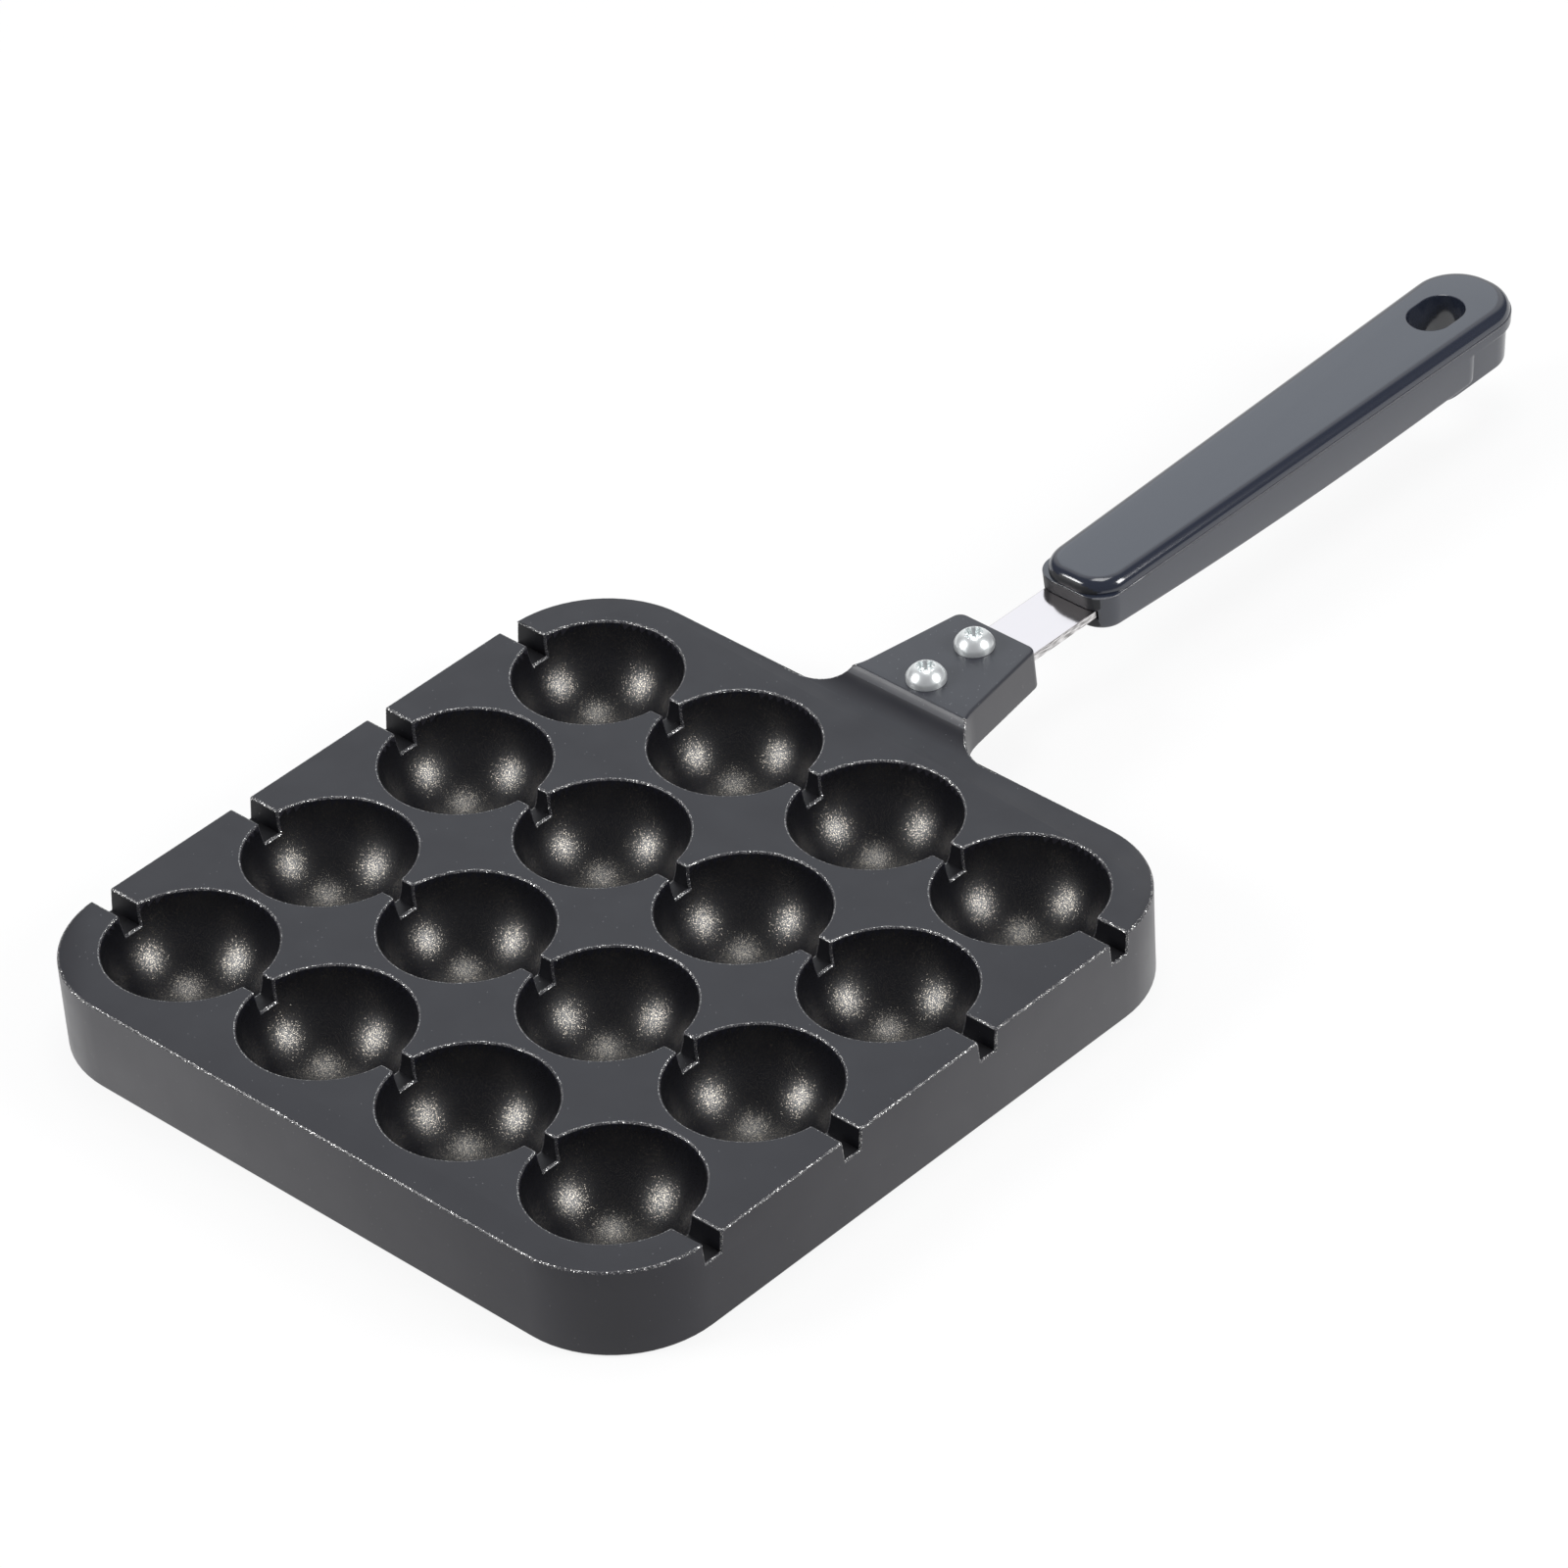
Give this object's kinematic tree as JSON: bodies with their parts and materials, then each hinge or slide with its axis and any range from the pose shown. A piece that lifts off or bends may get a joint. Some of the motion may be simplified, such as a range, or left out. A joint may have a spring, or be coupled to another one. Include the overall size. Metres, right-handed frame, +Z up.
{
  "type": "takoyaki pan",
  "caption": "Square cast pan with a grid of half-round cups joined by pouring channels, and a long moulded grip on a flat steel strap.",
  "frame": {"origin": "centre of the cast plate's outline, on the plane that the pan stands on", "axes": "+Z up out of the cups, +Y along the handle to its hanging eye, +X along the pouring channels"},
  "size_m": [0.182, 0.392, 0.0305],
  "materials": {
    "coated_casting": "dark non-stick coating with a fine mineral speckle",
    "polished_strap": "polished",
    "grip_moulding": "smooth heat-proof moulding",
    "plated_fastener": "bright zinc plating"
  },
  "bodies": {
    "root": {"pan_plate": "coated_casting", "handle_strap": "polished_strap", "handle_grip": "grip_moulding", "grip_screw": "plated_fastener", "lug_screw_front": "plated_fastener", "lug_screw_rear": "plated_fastener", "lug_nut_front": "plated_fastener", "lug_nut_rear": "plated_fastener"}
  },
  "joints": []
}
